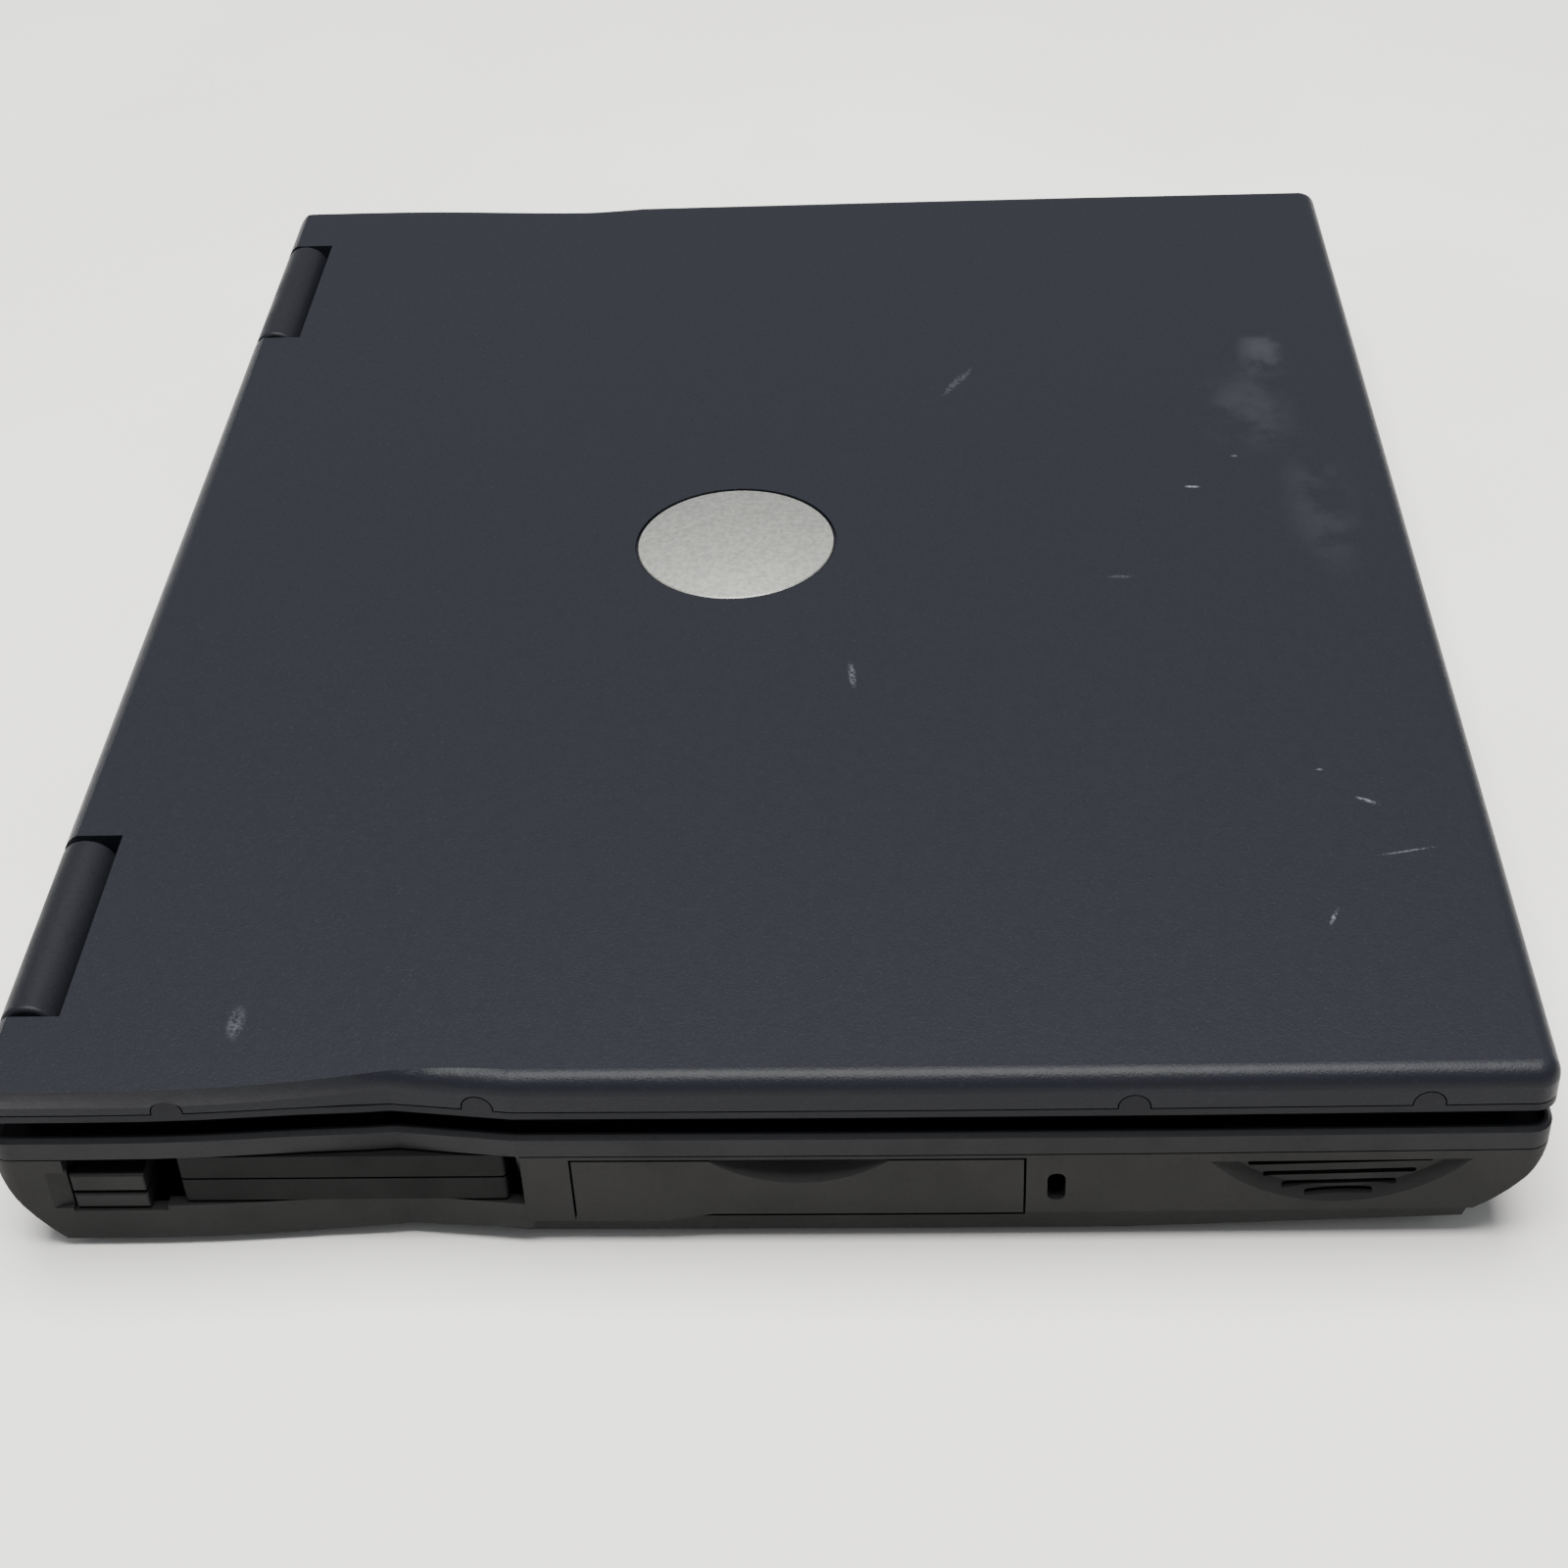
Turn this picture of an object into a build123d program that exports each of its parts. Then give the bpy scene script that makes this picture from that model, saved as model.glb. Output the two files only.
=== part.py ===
from build123d import *
import math
import os

# A closed business laptop of the early 2000s, in millimetres.
# X runs across the width, -Y is the user's side, +Y the hinge side, +Z is up.
# The origin is on the table, under the middle of the machine.

# ---------------------------------------------------------------- outer size
HALF_WIDTH = 159.0        # half the width at the bowed front two thirds
FRONT_Y = -129.0          # front edge of lid and base
REAR_Y = 129.0            # rear edge of lid and base
WAIST_Y = 60.0            # where the waist is
WAIST_END_Y = 40.0        # where the waist has run out to the full width
CORNER_R = 4.0            # plan radius of the corners
EDGE_R = 3.2              # radius of the lid's rolled front and side edges

# ---------------------------------------------------------------- levels (Z)
BELLY_Z = 2.0             # underside of the belly, on top of the feet
SKIRT_Z = 7.3             # lower edge of the side walls at the front
STEP_Z = 5.6              # lower edge of the side walls beside the drive door
PARTING_Z = 21.0          # joint between bottom case and top case
DECK_Z = 27.1             # palm rest and keyboard surround
RIM_Z = 25.4              # thin rim around the deck
GROOVE_Z = 23.8           # floor of the dark groove inside the rim
LID_Z = 29.7              # underside of the closed lid
COVER_Z = 31.1            # joint between display bezel and lid cover
TOP_Z = 38.0              # top of the lid

WALL = 2.2                # plastic wall thickness of both case halves
LID_WALL = 1.8            # plastic wall thickness of the lid cover
GAP = 0.4                 # clearance between a moving part and its bay
BELLY_INSET = 1.5         # the belly stands in from the side walls by this
BELLY_FRONT = (-116.4, 4.0)   # where the belly's front end comes down, as (y, z)
BELLY_FLAT_Y = -60.0      # from here back the underside is flat
SKIRT_FRONT_Y = -117.6    # front end of the side walls' lower edge
REAR_SKIRT = (39.2, 3.9)  # step in the side walls' lower edge, as (y, z) behind it
REAR_SKIRT_END_Y = 82.0   # from here back the side walls reach down to the belly
REAR_TOE_Y = 119.0        # rear end of the underside

# The machine's side from the rear corner to the waist, and the lid's crease above it:
# (y, half width of the side, half width and level of the crease, level where the side turns, bulge)
REAR_STATIONS = (
    (112.0, 158.6, 159.3, 37.3, 33.0, 0.2),
    (88.0, 158.0, 158.5, 37.3, 33.0, 0.2),
    (74.0, 157.1, 157.2, 37.4, 33.5, 0.25),
    (WAIST_Y, 156.4, 155.4, 37.8, 34.6, 0.4),
)
WAIST_STATIONS = (
    (WAIST_Y, 156.4, 155.4, 37.8, 34.6, 0.4),
    (50.0, 157.5, 155.0, 37.95, 34.7, 0.75),
    (WAIST_END_Y, 158.7, 155.6, 38.0, 34.9, 0.88),
)

# ------------------------------------------------------------------- hinges
HINGE_Y = 123.8
HINGE_Z = 32.8
BARREL_R = 5.2
BARREL_X = (94.8, 140.0)      # each fixed barrel, from the middle outwards
NOTCH_X = (93.4, 141.2)       # each notch in the lid around a barrel
NOTCH_Y = 117.4               # front wall of the notches
PIN_R = 1.6
PIN_CLEARANCE = 0.05          # radial running clearance of the hinge pins
PIN_END_X = 124.0

# --------------------------------------------------------------------- bays
# Each bay is (x0, x1, y0, y1, z0, z1); its part fills it less GAP all round.
BATTERY_BAY = (-136.4, -5.6, -140.0, -46.6, 4.2, PARTING_Z)
OPTICAL_BAY = (5.6, 136.4, -140.0, 4.4, 4.2, PARTING_Z)
DRIVE_BAY = (-158.0, -47.0, -43.9, 31.6, 7.4, 20.1)
BAY_WALL = 1.4
DOOR_DEPTH = 4.6              # thickness of the drive door

# ----------------------------------------------------------------- PC cards
CARD_Y = (42.4, 97.4)         # card guides take 54 mm wide cards
CARD_X = (-157.8, -73.0)
LOWER_CARD_Z = (10.3, 15.2)
UPPER_CARD_Z = (15.6, 20.5)
SLOT_Y = (39.7, 116.5)
SLOT_Z = 9.7
EJECT_Y = (103.4, 116.0)
LOWER_EJECT_Z = (9.1, 12.4)
UPPER_EJECT_Z = (13.0, 16.9)

# ----------------------------------------------------------------- keyboard
UNIT = 19.0                   # key pitch across
ROW_PITCH = 18.3              # key pitch towards the user
FUNCTION_PITCH = 11.0         # depth of the small top row
KEYS_LEFT = -7.5 * UNIT
KEYS_FRONT = -9.0
KEY_GAP = 1.0
KEY_Z = (25.2, 28.5)
KEY_TAPER = 20.0              # slope of the key sides, in degrees
PLATE_Z = (22.1, 22.9)
STICK_X = KEYS_LEFT + 6.8 * UNIT
STICK_Y = KEYS_FRONT + 2 * ROW_PITCH
STICK_R = 3.1

# --------------------------------------------- pointing area, lid and board
PAD_X = 32.5                  # half the width of the touchpad
PAD_Y = (-90.5, -41.5)
PAD_BUTTON_Y = (-106.5, -93.5)
STICK_BUTTON_Y = (-38.5, -26.5)
STRIP_Y = (97.0, 111.0)
STRIP_X = 150.0
STRIP_Z = 25.9                # underside of the strip above the keyboard
POWER_X = -128.0
POWER_R = 5.0
WINDOW = (143.0, 107.0)       # half the width and depth of the visible screen
PANEL = (149.0, 112.5)        # half the width and depth of the screen module
BADGE_Y = 9.7
BADGE_R = 20.4
BADGE_SINK = 0.8              # depth of the badge's round pocket in the lid
TAB_Y = (96.6, 45.5, -61.0, -108.0)
TAB_R = 2.5
BOARD_Z = (9.6, 11.2)
FAN_X = 129.0
FAN_Y = 83.0
MEMORY_DOOR = (-26.0, 52.0, 40.0, 109.0)
LATCH_SLOT = (-34.0, -16.0, -41.0, -29.0)
LATCH_TRAVEL = 4.0
SCREW_SPOTS = [(-64.0, 38.5), (-60.0, 99.0), (60.0, 106.0), (60.0, 12.0), (140.0, 12.0), (-36.0, 12.0)]
FOOT_SPOTS = [(-132.0, 106.0), (132.0, 106.0), (-132.0, -90.0), (132.0, -90.0)]


def block(x0, x1, y0, y1, z0, z1):
    """Box between two opposite corners."""
    centre = Pos((x0 + x1) / 2, (y0 + y1) / 2, (z0 + z1) / 2)
    return centre * Box(x1 - x0, y1 - y0, z1 - z0)


def rod_x(radius, x0, x1, y, z):
    """Round bar along X."""
    return Pos((x0 + x1) / 2, y, z) * Rot(0, 90, 0) * Cylinder(radius, x1 - x0)


def rod_y(radius, y0, y1, x, z):
    """Round bar along Y."""
    return Pos(x, (y0 + y1) / 2, z) * Rot(90, 0, 0) * Cylinder(radius, y1 - y0)


def rod_z(radius, z0, z1, x, y):
    """Upright round bar."""
    return Pos(x, y, (z0 + z1) / 2) * Cylinder(radius, z1 - z0)


def both_sides(shape):
    """The shape and its mirror image across the middle of the machine."""
    return shape + mirror(shape, Plane.YZ)


def group(shapes):
    """Several separate solids kept together as one node."""
    return Compound(children=[solid for shape in shapes for solid in shape.solids()])


def save(name, shape):
    export_step(shape, f"parts/{name}.step")


# ------------------------------------------------------------- outer shapes
def plan_outline(inset=0.0):
    """Plan of the machine: bowed sides, a waist towards the rear, wider rear corners."""
    side_x = HALF_WIDTH - inset
    front_y = FRONT_Y + inset
    rear_y = REAR_Y - inset
    stations = [(-station[1] + inset, station[0]) for station in REAR_STATIONS]
    rear_x, wing_y = stations[0]
    with BuildSketch() as sketch:
        with BuildLine():
            rear = Line((0, rear_y), (rear_x, rear_y))
            wing = Line(rear @ 1, (rear_x, wing_y))
            sweep = Spline(stations, tangents=[(0, -1), (0.1, -1)])
            waist = Line(sweep @ 1, (-side_x + 0.3, WAIST_END_Y))
            bow = ThreePointArc(waist @ 1, (-side_x, -40.0), (-side_x + 0.4, front_y))
            Line(bow @ 1, (0, front_y))
            mirror(about=Plane.YZ)
        make_face()
        corners = sketch.vertices().filter_by(lambda v: abs(v.X) > 140 and (v.Y < front_y + 1 or v.Y > rear_y - 1))
        fillet(corners, radius=max(CORNER_R - inset, 1.5))
    return sketch.sketch


def plan_prism(z0, z1, inset=0.0):
    """The plan outline, drawn in by inset and raised from z0 to z1."""
    return extrude(Pos(0, 0, z0) * plan_outline(inset=inset), z1 - z0)


def seam(z0, z1):
    """Fine groove where two shells of the case meet."""
    return block(-200, 200, -200, 200, z0, z1) - plan_prism(z0 - 1, z1 + 1, 0.6)


def side_profile(inset, bottom_points):
    """Side view of the bottom case: tucked-in front and rear, and a stepped underside."""
    front = FRONT_Y + inset
    rear = REAR_Y - inset
    toe_y, toe_z = bottom_points[0]
    heel_y, heel_z = bottom_points[-1]
    with BuildSketch(Plane.YZ) as sketch:
        with BuildLine():
            ThreePointArc((front, PARTING_Z), (front + 4.6, 13.2 + 0.6 * inset), (toe_y, toe_z))
            Polyline(bottom_points)
            ThreePointArc((heel_y, heel_z), (rear - 3.2, 11.4), (rear, PARTING_Z))
            Polyline([(rear, PARTING_Z), (rear, PARTING_Z + 1), (front, PARTING_Z + 1), (front, PARTING_Z)])
        make_face()
    return extrude(sketch.sketch, HALF_WIDTH + 10, both=True)


def base_form(inset=0.0):
    """Outer form of the bottom case, or of its hollow when inset by the wall."""
    floor_rise = inset * 0.55
    skirt_points = [
        (SKIRT_FRONT_Y + inset, SKIRT_Z + inset),
        (8.0, SKIRT_Z + inset),
        (16.0, STEP_Z + inset),
        (REAR_SKIRT[0] - 1.0 + inset, STEP_Z + inset),
        (REAR_SKIRT[0] + inset, REAR_SKIRT[1] + floor_rise),
        (REAR_SKIRT_END_Y, BELLY_Z + floor_rise),
        (REAR_TOE_Y - inset, BELLY_Z + floor_rise),
    ]
    belly_points = [
        (SKIRT_FRONT_Y + inset, SKIRT_Z + inset),
        (BELLY_FRONT[0] + inset, BELLY_FRONT[1] + floor_rise),
        (BELLY_FLAT_Y, BELLY_Z + floor_rise),
        (REAR_TOE_Y - inset, BELLY_Z + floor_rise),
    ]
    top = PARTING_Z + (1 if inset else 0)
    skirt = plan_prism(0, top, inset) & side_profile(inset, skirt_points)
    belly = plan_prism(0, top, inset + BELLY_INSET) & side_profile(inset, belly_points)
    return skirt + belly


# ------------------------------------------------------------- bottom case
def bay_walls(bay):
    """Floor and side walls around a bay, before the bay itself is cleared."""
    x0, x1, y0, y1, z0, z1 = bay
    return block(x0 - BAY_WALL, x1 + BAY_WALL, y0 - BAY_WALL, y1 + BAY_WALL, z0 - 1.2, z1)


def door_notch():
    """Room for the drive door, which is part of the case's left side."""
    y0, y1 = DRIVE_BAY[2:4]
    return block(-HALF_WIDTH - 5, -HALF_WIDTH + DOOR_DEPTH, y0, y1, STEP_Z - GAP, DRIVE_BAY[5])


def speaker_cuts():
    """Lens-shaped recess with four slots in the left side wall."""
    centre_y = -95.3
    lens = Pos(-HALF_WIDTH + 0.4, centre_y, 37.6) * Rot(0, 90, 0) * Cone(29.8, 26.2, 2.4)
    lens = lens & block(-HALF_WIDTH - 5, -100, -130, -60, 0, 18.9)
    slots = Part()
    for z, half in ((17.3, 15.1), (14.8, 12.5), (12.5, 9.4), (10.9, 5.6)):
        slot = SlotOverall(2 * half, 0.95, rotation=-1.5)
        slots += Pos(-HALF_WIDTH - 5, 0, 0) * extrude(Plane.YZ * Pos(centre_y, z) * slot, 9)
    return lens + slots


def card_slot_cut():
    """Opening for the cards and eject buttons, with a finger scoop at its rear end."""
    slot = block(-HALF_WIDTH - 5, -HALF_WIDTH + 5, SLOT_Y[0], SLOT_Y[1], SLOT_Z, PARTING_Z + 1)
    slot += block(-HALF_WIDTH - 5, -HALF_WIDTH + 5, EJECT_Y[0] - 3, SLOT_Y[1], LOWER_EJECT_Z[0] - GAP, SLOT_Z)
    scoop = Pos(-HALF_WIDTH - 10.6, SLOT_Y[1] - 2.0, 13.6) * Cylinder(12.2, 8.4)
    return slot + scoop


def lock_slot_cut():
    """Slot in the left side for a security cable's lock."""
    outline = Plane.YZ * Pos(-48.9, 13.3) * RectangleRounded(3.0, 6.2, 1.4)
    return Pos(-HALF_WIDTH - 2, 0, 0) * extrude(outline, 6)


REAR_PORTS = {
    "power_inlet": (-146.4, -135.6, 6.6, 17.4),
    "round_port_a": (-128.6, -115.4, 5.9, 19.0),
    "round_port_b": (-108.6, -95.4, 5.9, 19.0),
    "network_jacks": (-64.4, -33.6, 5.6, 18.0),
    "usb_ports": (-31.4, -16.6, 5.2, 18.4),
    "parallel_port": (-14.6, 39.6, 5.4, 18.2),
    "serial_port": (41.0, 72.4, 5.4, 18.2),
    "video_port": (73.6, 105.0, 5.4, 18.2),
}
PORT_BACK_Y = 116.0           # connectors stand behind this plane inside the case
PORT_FACE_Y = 121.0           # faces of the connectors, tucked under the rear edge
AUDIO_Y = (24.0, 38.0, 52.0)
AUDIO_R = 3.6
AUDIO_Z = 14.0


def rear_cuts():
    """Connector openings and the fan's exhaust slots in the rear wall."""
    cuts = Part()
    for x0, x1, z0, z1 in REAR_PORTS.values():
        cuts += block(x0, x1, PORT_BACK_Y - 3, REAR_Y + 5, z0, z1)
    for index in range(8):
        x = 113.0 + 4.6 * index
        cuts += block(x, x + 2.6, PORT_BACK_Y - 3, REAR_Y + 5, 7.5, 17.2)
    return cuts


def bottom_case():
    shell = base_form() - base_form(WALL)
    inside = base_form()
    for bay in (BATTERY_BAY, OPTICAL_BAY, DRIVE_BAY):
        shell += bay_walls(bay) & inside
    for x, y in SCREW_SPOTS:
        shell += rod_z(3.2, BELLY_Z + 0.6, BOARD_Z[0], x, y)
    for bay in (BATTERY_BAY, OPTICAL_BAY, DRIVE_BAY):
        shell -= block(*bay)
    shell -= door_notch()
    shell -= both_sides(speaker_cuts())
    shell -= card_slot_cut()
    shell -= lock_slot_cut()
    shell -= rear_cuts()
    for y in AUDIO_Y:
        shell -= rod_x(AUDIO_R + 0.1, 150, HALF_WIDTH + 5, y, AUDIO_Z)
    for x, y in SCREW_SPOTS:
        shell -= rod_z(1.3, 0, BOARD_Z[0] + 1, x, y)
        shell -= rod_z(2.9, 0, BELLY_Z + 1.4, x, y)
    x0, x1, y0, y1 = MEMORY_DOOR
    shell -= block(x0 - 0.2, x1 + 0.2, y0 - 0.2, y1 + 0.2, 0, 5)
    shell -= block(*LATCH_SLOT, 0, 5)
    return shell - seam(PARTING_Z - 0.25, PARTING_Z)


def memory_door():
    x0, x1, y0, y1 = MEMORY_DOOR
    door = block(x0, x1, y0, y1, BELLY_Z, BELLY_Z + 1.6)
    grip = Pos((x0 + x1) / 2, y0 + 5, BELLY_Z - 1.5) * Sphere(2.6)
    return door - grip


def rubber_feet():
    """Four round feet under the corners of the underside."""
    case = base_form()
    return group([rod_z(7.0, 0, BELLY_Z + 2.0, x, y) - case for x, y in FOOT_SPOTS])


def case_screws():
    screws = []
    for x, y in SCREW_SPOTS:
        head = rod_z(2.6, BELLY_Z + 0.2, BELLY_Z + 1.4, x, y)
        cross = block(x - 1.6, x + 1.6, y - 0.3, y + 0.3, 0, BELLY_Z + 0.8)
        cross += block(x - 0.3, x + 0.3, y - 1.6, y + 1.6, 0, BELLY_Z + 0.8)
        screws.append(head + rod_z(1.2, BELLY_Z + 1.4, BOARD_Z[0] - 0.2, x, y) - cross)
    return group(screws)


# ---------------------------------------------------------------- top case
def top_case():
    """Palm rest, keyboard surround and rear deck in one shell, with a groove inside its rim."""
    rim = plan_prism(PARTING_Z, RIM_Z)
    rim = chamfer(rim.faces().sort_by(Axis.Z)[-1].edges(), length=0.7)
    outer = rim - plan_prism(GROOVE_Z, RIM_Z + 1, 1.3) + plan_prism(GROOVE_Z - 1, DECK_Z, 5.5)
    outer += block(-BARREL_X[1], BARREL_X[1], 116.0, REAR_Y - 1.5, GROOVE_Z - 1, DECK_Z)
    outer -= plan_prism(PARTING_Z - 1, GROOVE_Z - 1.8, WALL)
    outer -= plan_prism(PARTING_Z - 1, DECK_Z - 2.0, 7.3) & block(-200, 200, -200, 114.0, 0, 50)
    keys_rear = KEYS_FRONT + 5 * ROW_PITCH + FUNCTION_PITCH
    outer -= block(KEYS_LEFT - 1.5, -KEYS_LEFT + 1.5, KEYS_FRONT - 1.5, keys_rear + 1.0, 18, 30)
    outer -= block(-STRIP_X - 0.2, STRIP_X + 0.2, STRIP_Y[0] - 0.2, STRIP_Y[1] + 0.2, STRIP_Z, 30)
    outer -= rod_z(POWER_R + 0.4, 18, 30, POWER_X, 104.0)
    outer -= block(-PAD_X - 0.2, PAD_X + 0.2, PAD_Y[0] - 0.2, PAD_Y[1] + 0.2, 18, 30)
    for y0, y1 in (PAD_BUTTON_Y, STICK_BUTTON_Y):
        outer -= block(-PAD_X - GAP, PAD_X + GAP, y0 - GAP, y1 + GAP, 18, 30)
    outer -= block(-14.0, 18.0, -123.0, -112.5, 18, 30)
    return outer


def control_strip():
    """Cover strip between keyboard and hinges, holding the power button and lights."""
    strip = block(-STRIP_X, STRIP_X, STRIP_Y[0], STRIP_Y[1], STRIP_Z, DECK_Z + 0.4)
    strip = chamfer(strip.edges().group_by(Axis.Z)[-1], length=0.6)
    strip -= rod_z(POWER_R + 0.4, 20, 30, POWER_X, 104.0)
    for x in light_spots():
        strip -= rod_z(1.35, 20, 30, x, 104.0)
    return strip


def light_spots():
    return [92.0 + 9.0 * index for index in range(5)]


def status_lights():
    return group([rod_z(1.3, STRIP_Z + 0.1, DECK_Z + 0.7, x, 104.0) for x in light_spots()])


def power_button():
    button = rod_z(POWER_R, DECK_Z - 2.9, DECK_Z + 1.2, POWER_X, 104.0)
    return fillet(button.edges().group_by(Axis.Z)[-1], radius=0.8)


def touchpad():
    pad = block(-PAD_X, PAD_X, PAD_Y[0], PAD_Y[1], DECK_Z - 2.3, DECK_Z - 0.5)
    return fillet(pad.edges().filter_by(Axis.Z), radius=1.5)


def pointing_buttons(y_span, left):
    """One of a pair of click buttons that meet at the middle."""
    x0, x1 = (-PAD_X, -0.3) if left else (0.3, PAD_X)
    button = block(x0, x1, y_span[0], y_span[1], DECK_Z - 2.3, DECK_Z + 0.5)
    return chamfer(button.edges().group_by(Axis.Z)[-1], length=0.7)


# ---------------------------------------------------------------- keyboard
def keyboard_plate():
    keys_rear = KEYS_FRONT + 5 * ROW_PITCH + FUNCTION_PITCH
    plate = block(KEYS_LEFT - 1.2, -KEYS_LEFT + 1.2, KEYS_FRONT - 1.2, keys_rear + 0.7, *PLATE_Z)
    return plate + rod_z(1.4, PLATE_Z[1], KEY_Z[0], STICK_X, STICK_Y)


def key(x0, x1, y0, y1):
    """One key cap with sloping sides, standing on its rim."""
    width = x1 - x0 - KEY_GAP
    depth = y1 - y0 - KEY_GAP
    foot = Pos((x0 + x1) / 2, (y0 + y1) / 2, KEY_Z[0]) * RectangleRounded(width, depth, 1.2)
    return extrude(foot, KEY_Z[1] - KEY_Z[0], taper=KEY_TAPER)


def key_row(front_y, pitch, widths, start=0.0):
    """A row of keys; widths are in key units, and a negative width is left empty."""
    keys = []
    x = KEYS_LEFT + start * UNIT
    for width in widths:
        step = abs(width) * UNIT
        if width > 0:
            cap = key(x, x + step, front_y, front_y + pitch)
            cap -= rod_z(STICK_R + 0.6, 20, 30, STICK_X, STICK_Y)
            keys.append(cap)
        x += step
    return group(keys)


KEY_ROWS = {
    "modifier_keys": (0, [1.2, 1, 1, 1, -5, 1, 1, 0.8, 1, 1, 1]),
    "shift_row_keys": (1, [2.3] + [1] * 10 + [1.7, 1]),
    "home_row_keys": (2, [1.8] + [1] * 11 + [2.2]),
    "upper_row_keys": (3, [1.5] + [1] * 12 + [1.5]),
    "number_row_keys": (4, [1] * 13 + [2]),
}


def function_keys():
    return key_row(KEYS_FRONT + 5 * ROW_PITCH, FUNCTION_PITCH, [15 / 16] * 16)


def space_bar():
    return key_row(KEYS_FRONT, ROW_PITCH, [5], start=4.2)


def pointing_stick():
    stick = rod_z(STICK_R, KEY_Z[0], KEY_Z[1] + 0.5, STICK_X, STICK_Y)
    return fillet(stick.edges().group_by(Axis.Z)[-1], radius=1.2)


# --------------------------------------------------------- inside the base
def motherboard():
    board = block(-66, 145, 36, 114, *BOARD_Z) + block(-43, 145, 8, 36, *BOARD_Z)
    board -= block(-67, -16, 105.5, 120, 0, 20)
    for x, y in SCREW_SPOTS:
        board -= rod_z(1.3, 0, 20, x, y)
    return board


def board_chips():
    """Chip set, graphics and small chips soldered on the board."""
    spots = ((-20, 70, 15.5), (22, 78, 13.5), (-45, 95, 7), (-15, 25, 9), (30, 25, 8), (100, 24, 8))
    return group([block(x - s, x + s, y - s, y + s, BOARD_Z[1], BOARD_Z[1] + 2.2) for x, y, s in spots])


def heatsink():
    """Finned block over the processor with a flat bridge to the fan."""
    sink = block(58, 104, 58, 104, BOARD_Z[1] + 0.2, 14.2)
    for index in range(11):
        x = 59 + 4.2 * index
        sink += block(x, x + 1.2, 58, 104, 14.2, 18.6)
    return sink


def fan_housing():
    """Shallow square housing, open on top and blowing towards the rear wall."""
    housing = block(107, 150, 61, 112, BOARD_Z[1] + 0.2, 18.6)
    housing -= rod_z(19.5, 12.6, 20, FAN_X, FAN_Y)
    housing -= block(111.5, 146.5, FAN_Y, 113, 12.6, 17.6)
    return housing + rod_z(1.5, 11.6, 18.2, FAN_X, FAN_Y)


def fan_rotor():
    hub = rod_z(7.0, 13.0, 17.8, FAN_X, FAN_Y)
    for index in range(9):
        blade = Pos(12.2, 0, 15.4) * Rot(0, 0, 22) * Box(11.5, 0.9, 4.4)
        hub += Pos(FAN_X, FAN_Y, 0) * Rot(0, 0, 40 * index) * blade
    return hub - rod_z(1.5 + PIN_CLEARANCE, 10, 20, FAN_X, FAN_Y)


def memory_modules():
    modules = []
    for y in (42.0, 76.0):
        card = block(-20.0, 47.6, y, y + 31.8, 5.6, 6.6)
        for index in range(4):
            x = -15 + 16.0 * index
            card += block(x, x + 11, y + 8, y + 26, 4.4, 5.6)
        card += block(-23.0, 50.6, y - 1.0, y + 3.0, 6.6, BOARD_Z[0])
        modules.append(card)
    return group(modules)


def speakers():
    body = block(-156.2, -141.0, -113, -77, 10.0, 19.6)
    cone = Pos(-155.2, -95, 14.4) * Rot(0, 90, 0) * Cone(4.6, 2.0, 2.2)
    return group([both_sides(body - cone)])


# --------------------------------------------------------------- connectors
def d_plug_port(name, pin_count):
    """D-shaped socket on a flange with two hexagonal nuts and rows of pin holes."""
    x0, x1, z0, z1 = REAR_PORTS[name]
    mid_x = (x0 + x1) / 2
    mid_z = (z0 + z1) / 2
    half = (x1 - x0) / 2 - 0.4
    port = block(mid_x - half, mid_x + half, PORT_BACK_Y, PORT_BACK_Y + 1.2, z0 + 0.3, z1 - 0.3)
    port += block(mid_x - half + 6, mid_x + half - 6, 106, PORT_BACK_Y, BOARD_Z[1], z1 - 0.6)
    socket = Plane.XZ * Pos(mid_x, mid_z) * Trapezoid(2 * half - 14.5, 8.0, 80)
    port += Pos(0, PORT_FACE_Y, 0) * extrude(fillet(socket.vertices(), radius=1.6), PORT_FACE_Y - PORT_BACK_Y)
    per_row = (pin_count + 1) // 2
    for index in range(per_row):
        x = mid_x + (index - (per_row - 1) / 2) * 2.77
        for z in (mid_z - 1.4, mid_z + 1.4):
            port -= rod_y(0.55, PORT_FACE_Y - 2.5, PORT_FACE_Y + 1, x, z)
    for side in (-1, 1):
        nut = Plane.XZ * Pos(mid_x + side * (half - 3.2), mid_z) * RegularPolygon(2.7, 6)
        port += Pos(0, PORT_FACE_Y - 0.6, 0) * extrude(nut, PORT_FACE_Y - 0.6 - PORT_BACK_Y)
        port -= rod_y(1.3, PORT_FACE_Y - 4, PORT_FACE_Y + 1, mid_x + side * (half - 3.2), mid_z)
    return port


def network_jacks():
    """Telephone and network sockets side by side."""
    phone = block(-64, -50.6, 106, PORT_FACE_Y, 6.0, 17.6) - block(-61.8, -52.2, 109, 125, 8.0, 15.0)
    network = block(-49.4, -34, 106, PORT_FACE_Y, 6.0, 17.6) - block(-47.8, -35.8, 109, 125, 7.2, 15.6)
    return group([phone, network])


def usb_ports():
    """Two flat sockets, one above the other, each with its tongue."""
    ports = []
    for z0 in (5.6, 12.2):
        shell = block(-31, -17, 108, PORT_FACE_Y, z0, z0 + 5.8)
        shell -= block(-30.4, -17.6, 109, 125, z0 + 0.5, z0 + 5.3)
        ports.append(shell + block(-29.4, -18.6, 108.5, PORT_FACE_Y - 0.8, z0 + 3.0, z0 + 4.6))
    return group(ports)


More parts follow.
